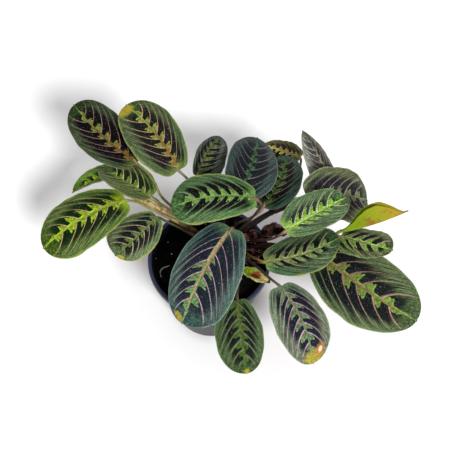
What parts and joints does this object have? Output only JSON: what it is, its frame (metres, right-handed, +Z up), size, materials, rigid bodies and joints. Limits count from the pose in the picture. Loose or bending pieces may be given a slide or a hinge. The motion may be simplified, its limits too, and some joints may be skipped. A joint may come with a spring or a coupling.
{
  "type": "potted prayer plant",
  "caption": "Small potted foliage plant: round tapered pot with a rolled rim, soil, leafy shoots and oval patterned leaves on thin stalks.",
  "frame": {"origin": "middle of the pot's flat underside", "axes": "+Z up along the pot's axis, +X to the right in the picture, along the plant's widest spread, +Y away from the camera"},
  "size_m": [0.3629, 0.2557, 0.1808],
  "materials": {
    "pot": "satin",
    "soil": "matte",
    "leaf": "satin",
    "shoot": "satin",
    "dry_leaf": "matte"
  },
  "bodies": {
    "root": {"leaf_01": "leaf", "leaf_02": "leaf", "leaf_03": "leaf", "leaf_04": "leaf", "leaf_05": "leaf", "leaf_06": "leaf", "leaf_07": "leaf", "leaf_08": "leaf", "leaf_09": "leaf", "leaf_10": "leaf", "leaf_11": "leaf", "leaf_12": "leaf", "leaf_13": "leaf", "leaf_14": "leaf", "leaf_15": "leaf", "leaf_16": "leaf", "leaf_17": "leaf", "leaf_18": "leaf", "leaf_19": "leaf", "leaf_20": "leaf", "leaf_21": "leaf", "dry_leaf_back": "dry_leaf", "dry_leaf_front": "dry_leaf", "shoot_left": "shoot", "shoot_back": "shoot", "shoot_right": "shoot", "soil": "soil", "pot": "pot"}
  },
  "joints": []
}
